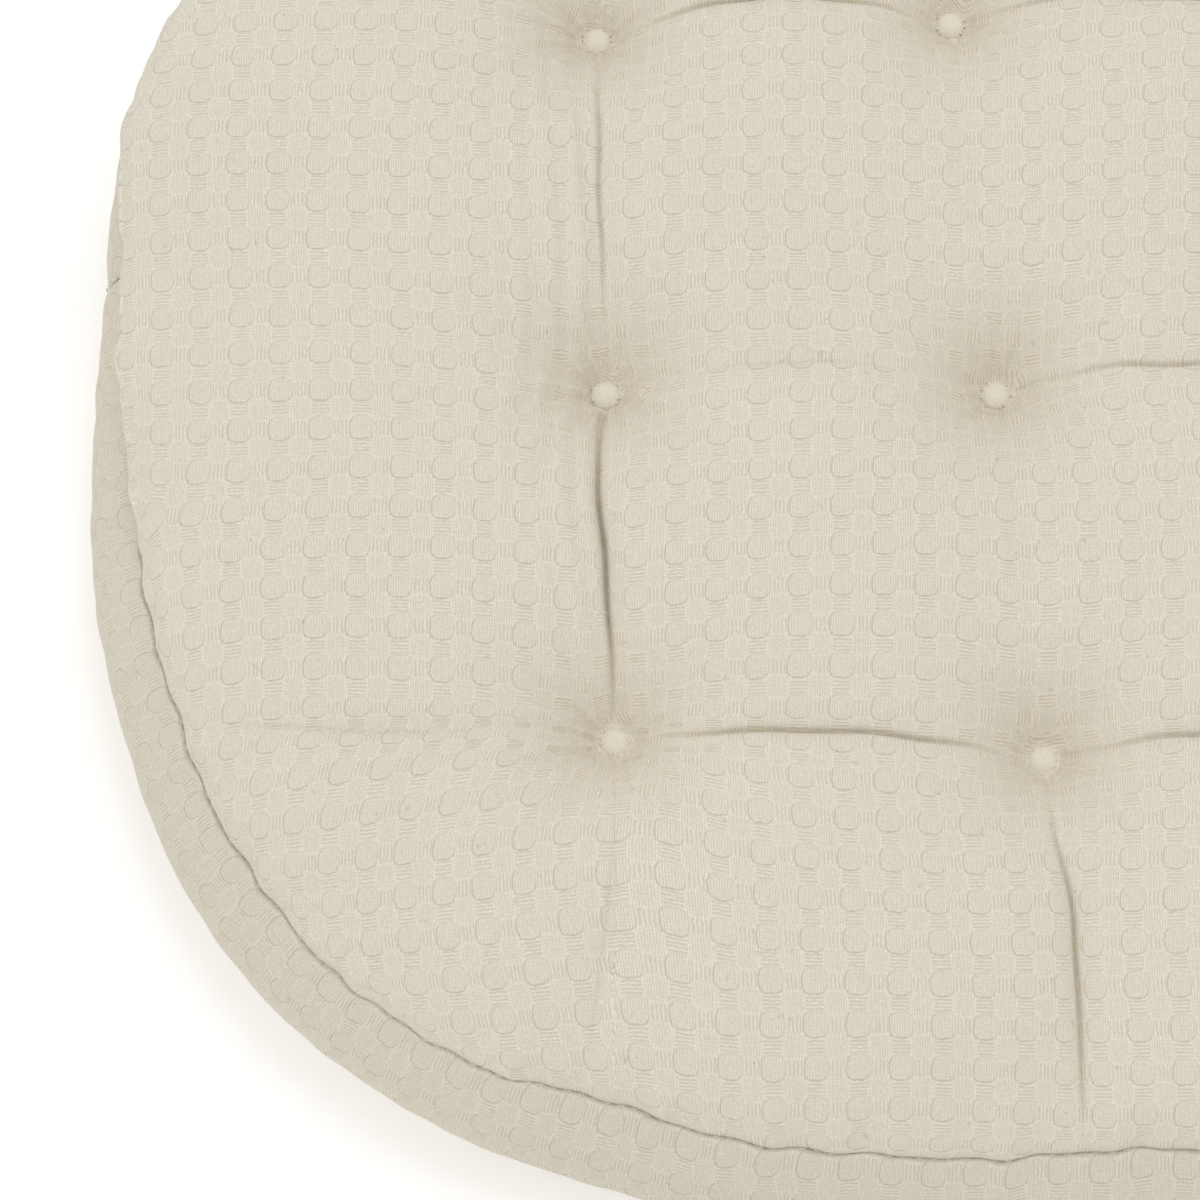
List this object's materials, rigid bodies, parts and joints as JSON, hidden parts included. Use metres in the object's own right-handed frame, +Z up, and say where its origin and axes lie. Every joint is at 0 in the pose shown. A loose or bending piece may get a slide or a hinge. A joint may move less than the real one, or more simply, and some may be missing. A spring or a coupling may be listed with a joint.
{
  "type": "chair seat pad",
  "caption": "Tufted, boxed chair seat pad with rounded corners: waffle-woven cotton cover, sewn side band, foam and wadding filling, tufts sewn through.",
  "frame": {"origin": "on the surface the pad rests on, below the middle of the pad's bounding box", "axes": "+Z up out of the sitting face, front edge towards -Y, longest side along X"},
  "size_m": [0.4076, 0.374, 0.06],
  "materials": {
    "cover_cloth": "cream cotton in a waffle weave, matt, slight fuzz",
    "band_cloth": "the same cream waffle-woven cotton",
    "underside_cloth": "the same cream waffle-woven cotton, laid flat",
    "wadding": "white polyester wadding, hidden inside",
    "foam": "pale soft foam, hidden inside",
    "sewing_thread": "cream sewing thread",
    "tuft": "cream tufting stitches over gathered cloth"
  },
  "bodies": {
    "root": {"top_panel": "cover_cloth", "front_band": "band_cloth", "rear_band": "band_cloth", "bottom_panel": "underside_cloth", "top_wadding": "wadding", "foam_core": "foam", "bottom_wadding": "wadding", "top_seam_thread": "sewing_thread", "bottom_seam_thread": "sewing_thread", "left_join_thread": "sewing_thread", "right_join_thread": "sewing_thread", "tuft_rear_left": "tuft", "tuft_rear_middle": "tuft", "tuft_rear_right": "tuft", "tuft_middle_left": "tuft", "tuft_middle_middle": "tuft", "tuft_middle_right": "tuft", "tuft_front_left": "tuft", "tuft_front_middle": "tuft", "tuft_front_right": "tuft"}
  },
  "joints": []
}
